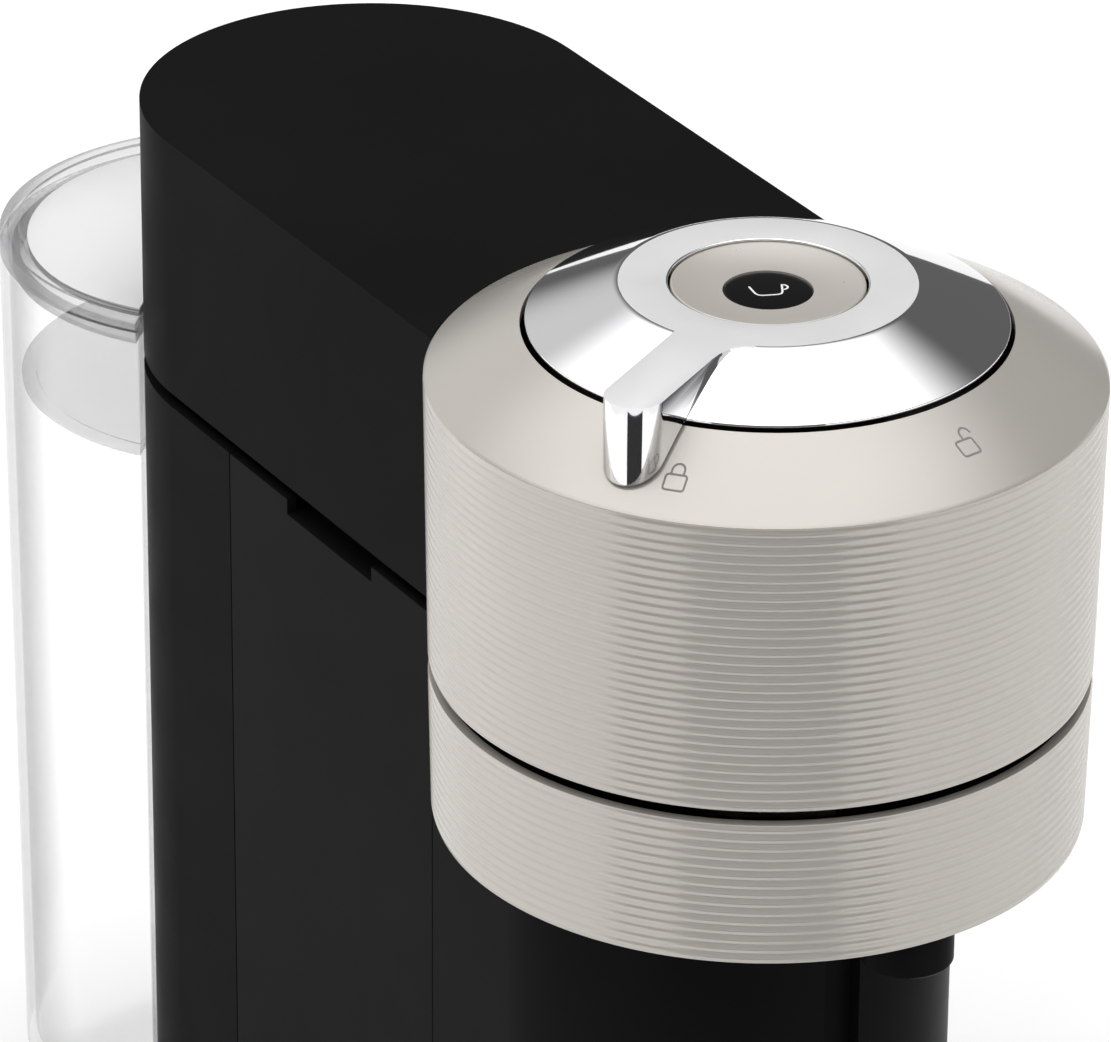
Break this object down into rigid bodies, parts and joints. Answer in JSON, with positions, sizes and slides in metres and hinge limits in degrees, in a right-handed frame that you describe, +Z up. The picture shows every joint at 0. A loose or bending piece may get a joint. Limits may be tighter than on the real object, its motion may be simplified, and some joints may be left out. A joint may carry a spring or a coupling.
{
  "type": "pod coffee machine",
  "caption": "Countertop pod coffee machine with a round ribbed head under a turning chromed lever, a hinged top, a capsule bin with a sliding cup support and a clear rear water tank.",
  "frame": {"origin": "centre of the bounding box on the surface that the machine stands on", "axes": "+Z up, front towards -Y, +X to the right seen from the front"},
  "size_m": [0.142, 0.4288, 0.314],
  "materials": {
    "head_grey": "moulded ribs, satin gloss",
    "casing_black": "fine matte texture",
    "gloss_black": "satin gloss",
    "grey_nylon": "glass-filled",
    "black_nylon": "moulded",
    "white_nylon": "moulded",
    "button_grey": "satin",
    "chrome": "mirror with a satin top",
    "steel": "bright",
    "steel_grid": "satin",
    "zinc": "pressed and plated",
    "cast_aluminium": "as cast",
    "copper": "enamelled wire",
    "brass": "turned",
    "rubber": "matt",
    "silicone": "milky",
    "red_silicone": "matt",
    "circuit_board": "solder mask",
    "red_lens": "polished",
    "tank_clear": "clear, polished",
    "lid_clear": "clear rim with a frosted disc",
    "baffle_clear": "frosted"
  },
  "bodies": {
    "base": {"base_plate": "casing_black", "feet": "rubber", "case_screws": "steel", "side_cover": "gloss_black", "rear_cover": "casing_black", "lower_ring": "head_grey", "chamber_deck": "gloss_black", "coffee_collector": "black_nylon", "coffee_spout": "gloss_black", "drive_housing": "grey_nylon", "holder_bearing": "steel", "motor_stator": "copper", "motor_cover": "zinc", "capsule_chute": "black_nylon", "barcode_reader": "circuit_board", "reader_window": "red_lens", "water_pump": "white_nylon", "pump_mount": "rubber", "flow_meter": "white_nylon", "thermoblock": "cast_aluminium", "water_tubes": "silicone", "control_board": "circuit_board", "tank_dock": "casing_black", "power_inlet": "rubber", "front_cover": "gloss_black", "hinge_bracket": "zinc", "hinge_pin": "steel", "hinge_springs": "steel"},
    "head": {"head_shell": "head_grey", "top_casing": "casing_black", "head_frame": "grey_nylon", "head_base": "gloss_black", "injector_bearing": "steel", "water_elbow": "brass", "head_hose": "silicone", "switch_board": "circuit_board", "button_spring": "steel"},
    "lever": {"lever": "chrome", "lever_hub": "grey_nylon", "locking_ring": "steel"},
    "button": {"button": "button_grey", "button_lens": "gloss_black"},
    "injector": {"injector": "grey_nylon", "piercing_needle": "steel", "brew_seal": "red_silicone"},
    "capsule_drive": {"capsule_holder": "black_nylon", "motor_rotor": "steel"},
    "bin": {"capsule_bin": "gloss_black"},
    "cup_support": {"cup_support": "casing_black"},
    "drip_grid": {"drip_grid": "steel_grid"},
    "tank": {"water_tank": "tank_clear", "valve_cage": "black_nylon", "valve_spring": "steel"},
    "tank_valve": {"valve_plunger": "red_silicone"},
    "tank_lid": {"tank_lid": "lid_clear", "tank_baffle": "baffle_clear"}
  },
  "joints": [
    {"name": "head_open", "type": "hinge", "parent": "base", "child": "head", "pos_m": [0, 0.1304, 0.2452], "axis": [-1, 0, 0], "range_deg": [0, 45]},
    {"name": "lever_turn", "type": "hinge", "parent": "head", "child": "lever", "pos_m": [0, -0.0696, 0.2932], "axis": [0, 0, 1], "range_deg": [0, 60]},
    {"name": "button_press", "type": "slide", "parent": "head", "child": "button", "axis": [0, 0, -1], "range_m": [0, 0.0015], "stiffness_N_per_m": 900, "springref_m": -0.0008, "deforming": ["button_spring"]},
    {"name": "capsule_spin", "type": "hinge", "parent": "base", "child": "capsule_drive", "pos_m": [0, -0.0696, 0.1932], "axis": [0, 0, 1], "continuous": true},
    {"name": "injector_spin", "type": "hinge", "parent": "head", "child": "injector", "pos_m": [0, -0.0696, 0.2532], "axis": [0, 0, 1], "continuous": true},
    {"name": "bin_slide", "type": "slide", "parent": "base", "child": "bin", "axis": [0, -1, 0], "range_m": [0, 0.15]},
    {"name": "cup_support_slide", "type": "slide", "parent": "bin", "child": "cup_support", "axis": [0, 0, 1], "range_m": [0, 0.09]},
    {"name": "grid_lift", "type": "slide", "parent": "cup_support", "child": "drip_grid", "axis": [0, 0, 1], "range_m": [0, 0.04]},
    {"name": "tank_lift", "type": "slide", "parent": "base", "child": "tank", "axis": [0, 0, 1], "range_m": [0, 0.34]},
    {"name": "valve_travel", "type": "slide", "parent": "tank", "child": "tank_valve", "axis": [0, 0, 1], "range_m": [0, 0.003], "stiffness_N_per_m": 300, "springref_m": -0.003, "deforming": ["valve_spring"]},
    {"name": "tank_lid_lift", "type": "slide", "parent": "tank", "child": "tank_lid", "axis": [0, 0, 1], "range_m": [0, 0.06]}
  ],
  "couplings": [
    {"joint": "injector_spin", "follows": "capsule_spin", "ratio": 1}
  ]
}
